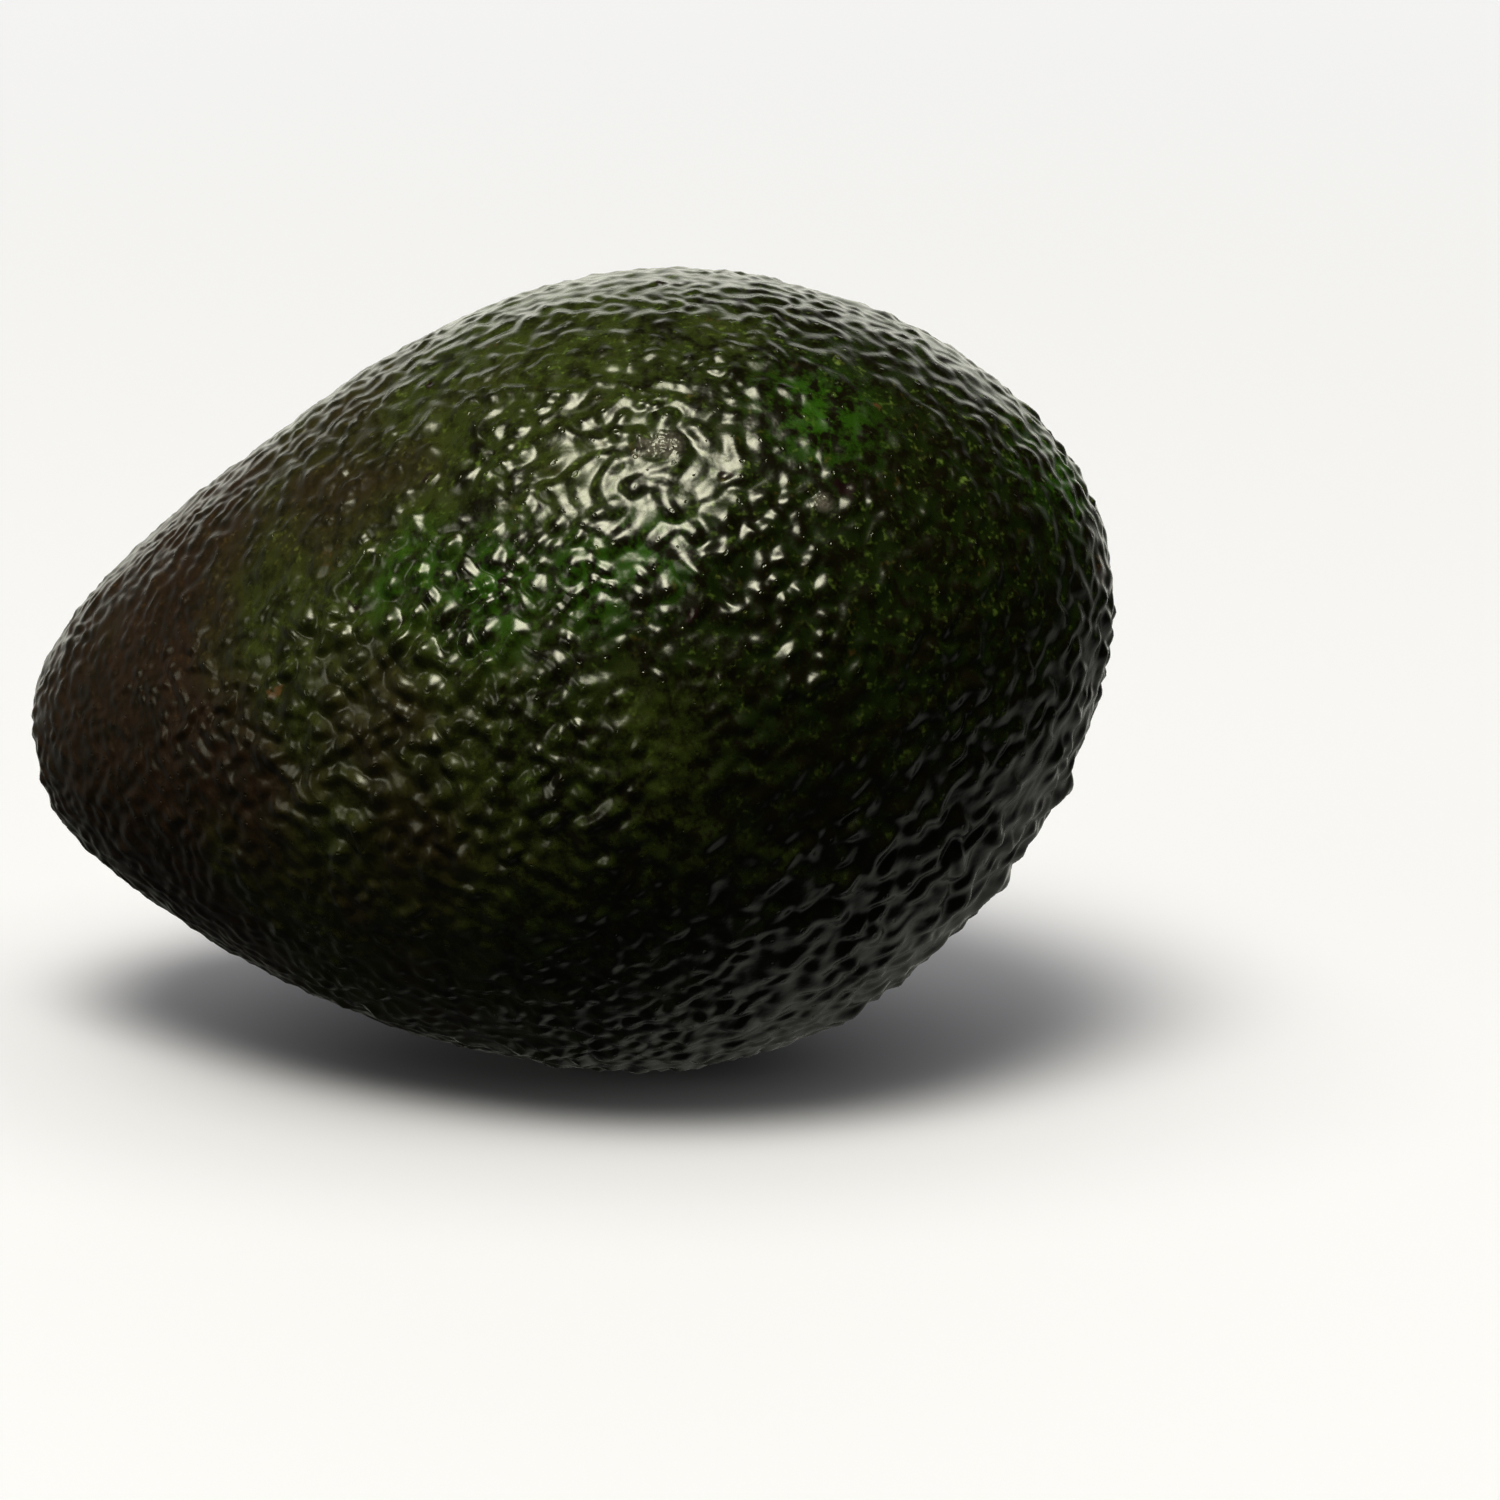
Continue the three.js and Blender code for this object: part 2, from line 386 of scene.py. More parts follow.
# ---------------------------------------------------------------- where the skin's colours and marks are

# Marks on the skin: latitude, turn and radius in millimetres.
GREEN_PATCHES = (
    (-13, 29, 8.0),
    (16, 22, 7.0),
    (24, 24, 7.0),
    (1, 23, 9.0),
    (47, 50, 9.0),
    (79, 76, 9.0),
)
OLIVE_PATCHES = (
    (12, 50, 19.0),
    (34, 68, 9.0),
)
PITS = (
    (-22, 26, 0.9),
    (-8, 44, 0.7),
    (-9, 65, 0.8),
    (25, 85, 0.8),
    (3, 24, 0.9),
    (35, 36, 0.9),
    (50, 34, 1.1),
    (28, 14, 0.7),
)
TAN_SCARS = (
    (-38, 15, 0.9),
    (87, -17, 1.6),
    (55, 56, 0.6),
)
SCUFFS = (
    (28, 42, 1.8),
    (25, 42, 1.2),
    (47, 31, 1.2),
)
FAR_FROM_MARKS = 9.0  # times a mark's radius

# Ramps of the distance to a mark, as a share of its radius.
VIVID_RAMP = (0.0, 1.0, 1.0, 0.0)
OLIVE_PATCH_RAMP = (0.1, 1.0, 0.8, 0.0)
SCUFF_RAMP = (0.4, 1.0, 1.0, 0.0)
# Ramps of a place along the fruit: where the painted light on the top reaches, how strong the painted shade
# low down is, and the stem end's own darker colour.
TOP_LIGHT_RAMP = (0.55, 0.8, 1.0, 0.1)
LOW_SHADE_RAMP = (0.3, 0.55, 0.72, 1.0)
DARK_STEM_RAMP = (0.0, 0.3, 0.7, 0.0)
# Ramps of the same with a noise added, so that the colours meet unevenly.
BROWN_RAMP = (0.5, 0.95, 1.0, 0.0)
OLIVE_RAMP = (0.8, 1.18, 1.0, 0.0)
UNEVEN_SIZE = 13
UNEVEN_REACH = 0.8
# Ramps of the height above the floor, in millimetres: the top lighter, a painted light; the skin darker
# towards the bottom, a painted shade; and the real specks fewer towards the bottom, also a painted shade.
TOP_LIGHT_HEIGHT_RAMP = (56, 69)
LOW_SHADE_HEIGHT_RAMP = (24, 60, 1.0, 0.0)
SPECK_SHADE_HEIGHT_RAMP = (25, 60, 0.25, 1.0)
# The noises that spread the specks: their size in millimetres, and a ramp of each.
SPECK_PATCH_SIZE = 7
SPECK_PATCH_RAMP = (0.38, 0.58, 0.45, 1.0)
AMBER_SIZE = 3
AMBER_RAMP = (0.52, 0.66)
# Distances from the fruit's axis in millimetres, between which the dimple's dull and corky skin gives way.
DIMPLE_DULL = (3.2, 6.5)
DIMPLE_CORKY = (3.2, 6.0)
DULLER_DIMPLE = 0.35  # how much rougher the skin is there
DULLER_BROWN = 0.08


def mark_share(n, place, rows):
    """The distance to the nearest of the marks, as a share of its radius."""
    share = FAR_FROM_MARKS
    for latitude, turn, radius in rows:
        away = n.vector("DISTANCE", place, skin_place(latitude, turn))
        share = n.math("MINIMUM", n.math("DIVIDE", away, radius), share)
    return share


def skin_shares(n, place):
    """How much of each broad colour the skin has at a place, with painted light on its top and painted
    shade low down, how near its marks are, and how dull it is.
    """
    along = along_fruit(n, place)
    uneven = n.math("MULTIPLY_ADD", n.noise(place, UNEVEN_SIZE, 2), UNEVEN_REACH, along)
    height = n.parts(place)["Z"]
    brown = n.ramp(uneven, *BROWN_RAMP)
    # Painted light: the top of the fruit is a lighter olive.
    top_light = n.math("MULTIPLY", n.ramp(height, *TOP_LIGHT_HEIGHT_RAMP), n.ramp(along, *TOP_LIGHT_RAMP))
    olive_and_top_light = n.ramp(mark_share(n, place, OLIVE_PATCHES), *OLIVE_PATCH_RAMP)
    olive_and_top_light = n.math("MAXIMUM", n.math("MAXIMUM", top_light, olive_and_top_light), n.ramp(uneven, *OLIVE_RAMP))
    # Painted shade: the skin darkens towards the bottom, more towards the blossom end.
    low = n.math("MULTIPLY", n.ramp(height, *LOW_SHADE_HEIGHT_RAMP), n.ramp(along, *LOW_SHADE_RAMP))
    speck_patches = n.ramp(n.noise(place, SPECK_PATCH_SIZE, 1), *SPECK_PATCH_RAMP)
    dimple = n.math("MULTIPLY", in_dimple(n, place, *DIMPLE_DULL), DULLER_DIMPLE)
    return {
        "brown": brown,
        "olive_and_top_light": olive_and_top_light,
        "vivid": n.ramp(mark_share(n, place, GREEN_PATCHES), *VIVID_RAMP),
        "pit": mark_share(n, place, PITS),
        "scar": mark_share(n, place, TAN_SCARS),
        "scuff": n.ramp(mark_share(n, place, SCUFFS), *SCUFF_RAMP),
        # The stem end's own dark colour, and the painted shade low down.
        "dark_and_shade": n.math("MAXIMUM", low, n.ramp(along, *DARK_STEM_RAMP)),
        "corky": in_dimple(n, place, *DIMPLE_CORKY),
        # The skin's own specks, fewer towards the bottom, a painted shade.
        "specks": n.math("MULTIPLY", n.ramp(height, *SPECK_SHADE_HEIGHT_RAMP), speck_patches),
        "amber": n.math("MAXIMUM", n.ramp(n.noise(place, AMBER_SIZE, 1), *AMBER_RAMP), brown),
        "dull": n.math("MAXIMUM", dimple, n.math("MULTIPLY", brown, DULLER_BROWN)),
    }


# ---------------------------------------------------------------- the skin's mesh

GRID = 128  # squares along each side of the six faces that the skin is gridded in
GRID_MIDDLE = 0.52  # where the grid's middle is along the fruit
REACH_TO_STEM = 0.25  # share of the fruit's length by which the grid's rays start nearer to each end
REACH_TO_BLOSSOM = 0.12
RAY_LENGTH = 0.3  # metres, well past the skin
RELAX_ROUNDS = 6
# The faces of the gridded cube, as the directions out of each one, across it and up it.
FACE_FRAMES = (
    ((1, 0, 0), (0, 1, 0), (0, 0, 1)),
    ((-1, 0, 0), (0, -1, 0), (0, 0, 1)),
    ((0, 1, 0), (-1, 0, 0), (0, 0, 1)),
    ((0, -1, 0), (1, 0, 0), (0, 0, 1)),
    ((0, 0, 1), (0, 1, 0), (-1, 0, 0)),
    ((0, 0, -1), (0, 1, 0), (1, 0, 0)),
)
UV_TILES = (3, 2)  # columns and rows of faces in the UV map
UV_MARGIN = 0.004
DIRECTION_DIGITS = 6  # directions of neighbouring faces that agree in these are one


def gridded_sphere():
    """Unit directions, quads and each quad corner's UV, for a sphere gridded in six square faces."""
    steps = np.tan(np.linspace(-math.pi / 4, math.pi / 4, GRID + 1))
    across, upward = np.meshgrid(steps, steps, indexing="ij")
    directions = []
    for out, right, up in np.array(FACE_FRAMES, float):
        face = out + across[..., None] * right + upward[..., None] * up
        directions.append(face.reshape(-1, 3))
    directions = np.concatenate(directions)
    directions /= np.linalg.norm(directions, axis=1)[:, None]
    rounded = np.round(directions, DIRECTION_DIGITS)
    _, first, merged = np.unique(rounded, axis=0, return_index=True, return_inverse=True)
    row, column = np.meshgrid(np.arange(GRID), np.arange(GRID), indexing="ij")
    corner = (row * (GRID + 1) + column).ravel()
    quad = np.stack([corner, corner + GRID + 1, corner + GRID + 2, corner + 1], 1)
    share = np.linspace(UV_MARGIN, 1 - UV_MARGIN, GRID + 1)
    place = np.stack(np.meshgrid(share, share, indexing="ij"), -1).reshape(-1, 2)
    quads, uvs = [], []
    for face in range(len(FACE_FRAMES)):
        quads.append(merged.reshape(-1)[quad + face * (GRID + 1) ** 2])
        tile = (face % UV_TILES[0], face // UV_TILES[0])
        uvs.append((place + tile)[quad] / UV_TILES)
    return directions[first], np.concatenate(quads), np.concatenate(uvs)


def wrapped_points(directions):
    """Where rays in these directions, from points spread along the fruit's axis, leave the smooth fruit."""
    axis = np.array(FRUIT_AXIS)
    forward = directions @ axis
    slide = np.where(forward < 0, REACH_TO_STEM, REACH_TO_BLOSSOM) * FRUIT_LENGTH * forward
    middle = np.array(SEAT) + axis * FRUIT_LENGTH * GRID_MIDDLE
    starts = middle + slide[:, None] * axis
    points = np.empty_like(directions)
    for i, (start, direction) in enumerate(zip(starts, directions)):
        outside = Vector(start + direction * RAY_LENGTH)
        points[i] = FRUIT_SURFACE.ray_cast(outside, Vector(-direction))[0]
    return points


def relaxed(points, quads, rounds):
    """The points, each moved halfway to the mean of its neighbours, a few times over."""
    edges = np.concatenate([quads[:, [k, (k + 1) % 4]] for k in range(4)])
    ends = np.concatenate([edges[:, 0], edges[:, 1]])
    others = np.concatenate([edges[:, 1], edges[:, 0]])
    count = np.bincount(ends, minlength=len(points))[:, None]
    for _ in range(rounds):
        total = np.stack([np.bincount(ends, points[others, k], len(points)) for k in range(3)], 1)
        points = points * 0.5 + total / count * 0.5
    return points


def mesh_of(name, points, quads, uvs):
    mesh = bpy.data.meshes.new(name)
    mesh.from_pydata(points.tolist(), [], quads.tolist())
    mesh.uv_layers.new(name="OFBake").data.foreach_set("uv", uvs.reshape(-1))
    mesh.shade_smooth()
    return mesh


def broad_relief_modifier(skin):
    """Geometry nodes that raise the skin by its broad relief, and store what the pebbles and paint need."""
    tree = bpy.data.node_groups.new("broad_relief", "GeometryNodeTree")
    tree.interface.new_socket("Geometry", in_out="INPUT", socket_type="NodeSocketGeometry")
    tree.interface.new_socket("Geometry", in_out="OUTPUT", socket_type="NodeSocketGeometry")
    n = Nodes(tree)
    geometry = n.add("NodeGroupInput").outputs[0]
    place = n.vector("SCALE", n.add("GeometryNodeInputPosition").outputs[0], scale=1 / MM)
    swayed = swayed_place(n, place)
    firm = firmness(n, place)
    stored = {
        "place": place,
        "swayed": swayed,
        "spacing": pebble_spacing(n, place),
        "firmness": firm,
        "ridge": ridges(n, swayed),
        "ridge_rise": ridge_rise(n, firm),
        **skin_shares(n, place),
    }
    for name, value in stored.items():
        kind = "FLOAT_VECTOR" if value.type == "VECTOR" else "FLOAT"
        store = n.add("GeometryNodeStoreNamedAttribute", data_type=kind, domain="POINT")
        for socket, part in (("Geometry", geometry), ("Name", name), ("Value", value)):
            n.put(store.inputs[socket], part)
        geometry = store.outputs[0]
    normal = n.add("GeometryNodeInputNormal").outputs[0]
    offset = n.vector("SCALE", normal, scale=n.math("MULTIPLY", broad_relief(n, place), MM))
    raised = n.add("GeometryNodeSetPosition", {"Geometry": geometry, "Offset": offset})
    n.add("NodeGroupOutput", {0: raised.outputs[0]})
    modifier = skin.modifiers.new("broad_relief", "NODES")
    modifier.node_group = tree


def apply_modifiers(piece):
    shown = piece.evaluated_get(bpy.context.evaluated_depsgraph_get())
    mesh = bpy.data.meshes.new_from_object(shown)
    piece.modifiers.clear()
    piece.data = mesh


def link(piece):
    bpy.context.scene.collection.objects.link(piece)
    return piece


def read(data, name, width=1):
    """One property of every item of a mesh's data, as an array."""
    values = np.empty(len(data) * width)
    data.foreach_get(name, values)
    return values if width == 1 else values.reshape(-1, width)


def read_attribute(mesh, name):
    return read(mesh.attributes[name].data, "value")


def write_attribute(mesh, name, domain, vectors):
    mesh.attributes.new(name, "FLOAT_VECTOR", domain).data.foreach_set("vector", vectors.ravel())


def tree_of(places):
    tree = KDTree(len(places))
    for i, place in enumerate(places):
        tree.insert(place, i)
    tree.balance()
    return tree


def strewn(places, spacings, draw):
    """A random choice of these places' indices, each at least its spacing from those chosen before it."""
    tree = tree_of(places)
    free = np.ones(len(places), bool)
    chosen = []
    for i in draw.permutation(len(places)):
        if free[i]:
            chosen.append(i)
            free[[found[1] for found in tree.find_range(places[i], spacings[i])]] = False
    return np.array(chosen)


def pebble_reaches(middles, draw):
    """A radius for each pebble, from the distance to its nearest neighbours."""
    tree = tree_of(middles)
    away = []
    for middle in middles:
        nearest = tree.find_n(middle, PEBBLE_NEIGHBOURS + 1)  # the pebble itself is among them
        away.append(sum(found[2] for found in nearest) / PEBBLE_NEIGHBOURS)
    return PEBBLE_REACH * np.array(away) * draw.uniform(*PEBBLE_REACH_CHANCE, len(middles))


def make_pebbles(mesh, spots):
    """The pebbles' middles, among the mesh's spots, and their radii and heights. A pit is a sunken one."""
    draw = np.random.default_rng(PEBBLE_SEED)
    chosen = strewn(spots, read_attribute(mesh, "spacing"), draw)
    reaches = pebble_reaches(spots[chosen], draw)
    chance = draw.uniform(*PEBBLE_RISE_CHANCE, len(chosen))
    rises = PEBBLE_RISE * reaches * read_attribute(mesh, "firmness")[chosen] * chance
    kept = draw.random(len(chosen)) > PEBBLES_LEFT_OUT
    places = tree_of(read(mesh.attributes["place"].data, "vector", 3))
    pits = [places.find(skin_place(latitude, turn))[1] for latitude, turn, _ in PITS]
    middles = np.vstack([spots[chosen][kept], spots[pits]])
    reaches = np.append(reaches[kept], [radius for _, _, radius in PITS])
    rises = np.append(rises[kept], [-PIT_DEPTH] * len(PITS))
    return middles, reaches, rises


def raised_heights(mesh, spots, middles, reaches, rises):
    """The height in millimetres of the ridges and pebbles at each spot."""
    heights = read_attribute(mesh, "ridge") * read_attribute(mesh, "ridge_rise")
    tree = tree_of(spots)
    for middle, reach, rise in zip(middles, reaches, rises):
        for _, i, distance in tree.find_range(middle, reach):
            heights[i] += rise * (1 - (distance / reach) ** 2) ** 3
    return heights


def tell_faces(mesh, spots, middles, reaches, rises):
    """Writes on each face of the mesh which pebbles reach it, for the material."""
    corners = np.array([face.vertices for face in mesh.polygons])
    faces = spots[corners].mean(1)
    half_face = np.linalg.norm(spots[corners] - faces[:, None], axis=2).max(1)
    tree = tree_of(faces)
    reached_by = [[] for _ in faces]
    for pebble, (middle, reach) in enumerate(zip(middles, reaches)):
        for _, i, distance in tree.find_range(middle, reach + half_face.max()):
            if distance < reach + half_face[i]:
                reached_by[i].append((distance - reach, pebble))
    no_pebble = len(middles)
    slots = np.full((len(faces), PEBBLE_SLOTS), no_pebble)
    for i, found in enumerate(reached_by):
        nearest = [pebble for _, pebble in sorted(found)[:PEBBLE_SLOTS]]
        slots[i, : len(nearest)] = nearest
    middles = np.vstack([middles, FAR_AWAY])
    sizes = np.vstack([np.stack([reaches, rises, rises], 1), (1, 0, 0)])
    for slot in range(PEBBLE_SLOTS):
        write_attribute(mesh, f"pebble_{slot}", "FACE", middles[slots[:, slot]])
        write_attribute(mesh, f"size_{slot}", "FACE", sizes[slots[:, slot]])


def strew_pebbles(mesh):
    """Raises the mesh at its pebbles and ridges, and tells each face which pebbles reach it."""
    spots = read(mesh.attributes["swayed"].data, "vector", 3)
    pebble_rows = make_pebbles(mesh, spots)
    heights = raised_heights(mesh, spots, *pebble_rows)
    tell_faces(mesh, spots, *pebble_rows)
    points = read(mesh.vertices, "co", 3)
    normals = read(mesh.vertices, "normal", 3)
    write_attribute(mesh, "smooth_normal", "POINT", normals)
    points += normals * (heights - heights.mean())[:, None] * MM
    points[:, 2] = np.maximum(points[:, 2], 0)
    mesh.vertices.foreach_set("co", points.ravel())
    mesh.update()


def make_fruit():
    directions, quads, uvs = gridded_sphere()
    points = relaxed(wrapped_points(directions), quads, RELAX_ROUNDS)
    fruit = link(bpy.data.objects.new("fruit_skin", mesh_of("fruit_skin", points, quads, uvs)))
    broad_relief_modifier(fruit)
    apply_modifiers(fruit)
    strew_pebbles(fruit.data)
    return fruit


# ---------------------------------------------------------------- materials

DARK = (0.0045, 0.0038, 0.0006)
OLIVE = (0.030, 0.042, 0.0055)
DEEP_GREEN = (0.0060, 0.0120, 0.0007)
VIVID_GREEN = (0.021, 0.078, 0.0018)
BROWN = (0.0200, 0.0086, 0.0030)
CORK = (0.10, 0.060, 0.026)
SPECK = (0.11, 0.17, 0.03)
AMBER_SPECK = (0.07, 0.036, 0.010)
PIT = (0.010, 0.0035, 0.0035)
TAN = (0.07, 0.036, 0.012)
SCUFF = (0.10, 0.09, 0.08)

# The mottle is a noise of patches a few millimetres across, and the grain is a finer one.
MOTTLE = (2.4, 3.5, 0.75)  # size, detail and roughness
GRAIN = (GRAIN_SIZE, 1, 0.6)
# Ramps of the mottle.
SPECK_MOTTLE_RAMP = (0.40, 0.62, 0.15, 1.0)
VIVID_MOTTLE_RAMP = (0.3, 0.62, 0.3, 0.95)
DARK_MOTTLE_RAMP = (0.36, 0.62, 0.7, -0.6)
CORKY_MOTTLE_RAMP = (0.3, 0.6, 0.5, 1.0)
SCUFF_MOTTLE_RAMP = (0.35, 0.6, 0.3, 1.0)
ROUGHNESS_RAMP = (0.3, 0.7, 0.21, 0.29)
# Ramps of the grain.
SPECK_GRAIN_RAMP = (0.54, 0.85)
PORE_GRAIN_RAMP = (0.5, 0.6)
# Ramps of how near the top of a pebble or a ridge a place is.
DARK_TOP_RAMP = (0.0, 0.9, 0.0, 0.8)
PORE_TOP_RAMP = (0.94, 0.995)
RIDGE_TOP_RAMP = (0.45, 0.7, 0.0, 0.8)
# A ramp of the distance to a pit or a scar, as a share of its radius.
MARK_RAMP = (0.3, 1.0, 1.0, 0.0)
MARK_RAGGEDNESS = 2.5  # how far the grain moves its edge
# The dark colour takes in the painted shade low down, and the olive the painted light on the top.
LESS_DARK = -0.45  # how much less of the dark colour brown or olive skin has


def solid(colour):
    return (*colour, 1)


def specked(n, colour, mottle, grain):
    """The colour with small soft specks where the grain is high, green here and amber there."""
    share = n.math("MULTIPLY", n.ramp(grain, *SPECK_GRAIN_RAMP), n.ramp(mottle, *SPECK_MOTTLE_RAMP))
    share = n.math("MULTIPLY", share, n.attribute("specks"))
    return n.mix(share, colour, n.mix(n.attribute("amber"), solid(SPECK), solid(AMBER_SPECK)))


def skin_colour(n, mottle, grain, top):
    brown = n.attribute("brown")
    # The olive share takes in the skin's own olive and the painted light on the top.
    olive_and_top_light = n.attribute("olive_and_top_light")
    colour = n.mix(olive_and_top_light, solid(DEEP_GREEN), solid(OLIVE))
    vivid = n.math("MULTIPLY", n.attribute("vivid"), n.ramp(mottle, *VIVID_MOTTLE_RAMP))
    colour = n.mix(vivid, colour, solid(VIVID_GREEN))
    colour = n.mix(brown, colour, solid(BROWN))
    # The pebbles' darker tops, the stem end's dark colour and the painted shade low down.
    dark_and_shade = n.math("MAXIMUM", n.ramp(top, *DARK_TOP_RAMP), n.attribute("dark_and_shade"))
    dark_and_shade = n.math("ADD", n.ramp(mottle, *DARK_MOTTLE_RAMP), dark_and_shade)
    strength = n.math("MULTIPLY_ADD", n.math("MAXIMUM", brown, olive_and_top_light), LESS_DARK, 1.0)
    colour = n.mix(n.math("MULTIPLY", dark_and_shade, strength, clamp=True), colour, solid(DARK))
    colour = specked(n, colour, mottle, grain)
    corky = n.math("MULTIPLY", n.attribute("corky"), n.ramp(mottle, *CORKY_MOTTLE_RAMP))
    colour = n.mix(corky, colour, solid(CORK))
    for mark, paint in (("pit", PIT), ("scar", TAN)):
        ragged = n.math("SUBTRACT", grain, 0.5)
        share = n.math("MULTIPLY_ADD", ragged, MARK_RAGGEDNESS, n.attribute(mark))
        colour = n.mix(n.ramp(share, *MARK_RAMP), colour, solid(paint))
    scuffed = n.math("MULTIPLY", n.attribute("scuff"), n.ramp(mottle, *SCUFF_MOTTLE_RAMP))
    return n.mix(scuffed, colour, solid(SCUFF))


def skin_height(n, place, grain):
    """Height in millimetres of the fine relief, and how near the top of a pebble or ridge it is, 0 to 1."""
    swayed = swayed_place(n, place)
    ridge = ridges(n, swayed)
    height, top = pebbles(n, swayed)
    height = n.math("MULTIPLY_ADD", ridge, n.attribute("ridge_rise"), height)
    rough = n.math("MULTIPLY_ADD", n.attribute("scuff"), SCUFF_RISE, GRAIN_RISE)
    height = n.math("MULTIPLY_ADD", grain, rough, height)
    pore = n.math("MULTIPLY", n.ramp(top, *PORE_TOP_RAMP), n.ramp(grain, *PORE_GRAIN_RAMP))
    height = n.math("MULTIPLY_ADD", pore, -PORE_DEPTH, height)
    return height, n.math("MAXIMUM", top, n.ramp(ridge, *RIDGE_TOP_RAMP))


def skin_material():
    material = bpy.data.materials.new("skin")
    material.use_nodes = True
    n = Nodes(material.node_tree)
    surface = material.node_tree.nodes["Principled BSDF"]
    place = n.attribute("place", "Vector")
    grain = n.noise(place, *GRAIN)
    height, top = skin_height(n, place, grain)
    bump = n.add("ShaderNodeBump", {"Height": n.math("MULTIPLY", height, MM), "Distance": 1.0})
    n.put(bump.inputs["Normal"], n.attribute("smooth_normal", "Vector"))
    n.put(surface.inputs["Normal"], bump.outputs[0])
    mottle = n.noise(place, *MOTTLE)
    n.put(surface.inputs["Base Color"], skin_colour(n, mottle, grain, top))
    roughness = n.math("ADD", n.attribute("dull"), n.ramp(mottle, *ROUGHNESS_RAMP))
    n.put(surface.inputs["Roughness"], roughness)
    surface.inputs["Specular IOR Level"].default_value = 0.5
    return material


# ---------------------------------------------------------------- the stem button

# Its outline from the middle of its foot to the middle of its top, in millimetres: distances from the axis,
# and heights above the dimple's floor. The foot is sunk in the skin.
BUTTON_OUTLINE = (
    (0.0, -0.6),
    (2.0, -0.6),
    (2.25, 0.1),
    (2.3, 0.5),
    (2.55, 0.8),
    (2.65, 1.2),
    (2.5, 1.55),
    (2.2, 1.65),
    (1.9, 1.5),
    (1.2, 1.36),
    (0.55, 1.42),
    (0.35, 1.3),
    (0.0, 1.28),
)
BUTTON_RADIUS = 2.6
BUTTON_RINGS = 72
BUTTON_COLUMNS = 120
# The heights in millimetres of the bark's furrows and of the lumps on top, and the share of its radius by
# which the button is out of round.
FURROW_RISE = 0.13
LUMP_RISE = 0.12
OUT_OF_ROUND = 0.05
# How fast the noises that make them change.
FURROW_RATE = 4
FINE_FURROW_RATE = 9
LUMP_RATE = 1.6
OUT_OF_ROUND_RATE = 1.3
BARK = (0.055, 0.034, 0.018)
CUT_WOOD = (0.30, 0.20, 0.10)
CUT_WOOD_DARK = (0.11, 0.065, 0.03)
PITH = (0.045, 0.026, 0.013)
BLOTCHES = (0.7, 3, 0.6)  # size in millimetres, detail and roughness
BLOTCH_REACH = 1.1  # how far they bend the rings
BLOTCH_RAMP = (0.45, 0.7, 0.0, 0.5)
FIBRES = (0.25, 3, 0.6)
FIBRE_RISE = 0.08 * MM
RING_RATE = 11
RING_RAMP = (-1.0, 1.0, 0.0, 0.35)
# Ramps of the distance from the axis, with the blotches added, and of the height above the dimple's floor.
PITH_RAMP = (0.8, 1.3, 1.0, 0.0)
CUT_FACE_RAMP = (2.5, 2.95, 1.0, 0.0)
CUT_HEIGHT_RAMP = (1.1, 1.35)


def button_point(radius, height, angle):
    """A point of the button's skin, as its distance from the axis, its height and a unit spoke."""
    spoke = Vector((math.cos(angle), math.sin(angle), 0))
    furrow = noise.noise(spoke * FURROW_RATE + Vector((0, 0, height * 0.5)))
    furrow += 0.5 * noise.noise(spoke * FINE_FURROW_RATE)
    lump = noise.noise(spoke * radius * LUMP_RATE + Vector((3, 1, height)))
    uneven = 1 + OUT_OF_ROUND * noise.noise(spoke * OUT_OF_ROUND_RATE)
    wide = radius * uneven + FURROW_RISE * furrow * radius / BUTTON_RADIUS
    tall = height + LUMP_RISE * lump * min(1, max(0, height))
    return wide, tall, spoke


def make_button():
    """A turned outline with furrowed bark round it and a rough, slightly hollow top."""
    outline = np.array(BUTTON_OUTLINE)
    steps = np.append(0, np.cumsum(np.linalg.norm(np.diff(outline, axis=0), axis=1)))
    at = np.linspace(0, steps[-1], BUTTON_RINGS)
    radii, heights = (np.interp(at, steps, outline[:, k]) for k in range(2))
    sideways = Vector((0, 1, 0))
    upward = STEM_AXIS.cross(sideways)
    shape = bmesh.new()
    rings = []
    for radius, height in zip(radii, heights):
        ring = []
        for column in range(BUTTON_COLUMNS):
            wide, tall, spoke = button_point(radius, height, 2 * math.pi * column / BUTTON_COLUMNS)
            flat = sideways * spoke.x + upward * spoke.y
            ring.append(shape.verts.new(SEAT + (flat * wide + STEM_AXIS * tall) * MM))
        rings.append(ring)
    for low, high in zip(rings, rings[1:]):
        for k in range(BUTTON_COLUMNS):
            following = (k + 1) % BUTTON_COLUMNS
            shape.faces.new((low[k], low[following], high[following], high[k]))
    bmesh.ops.remove_doubles(shape, verts=shape.verts, dist=SAME_POINT)
    bmesh.ops.recalc_face_normals(shape, faces=shape.faces)
    mesh = bpy.data.meshes.new("stem_button_wood")
    shape.to_mesh(mesh)
    shape.free()
    mesh.shade_smooth()
    mesh.materials.append(button_material())
    return link(bpy.data.objects.new("stem_button_wood", mesh))


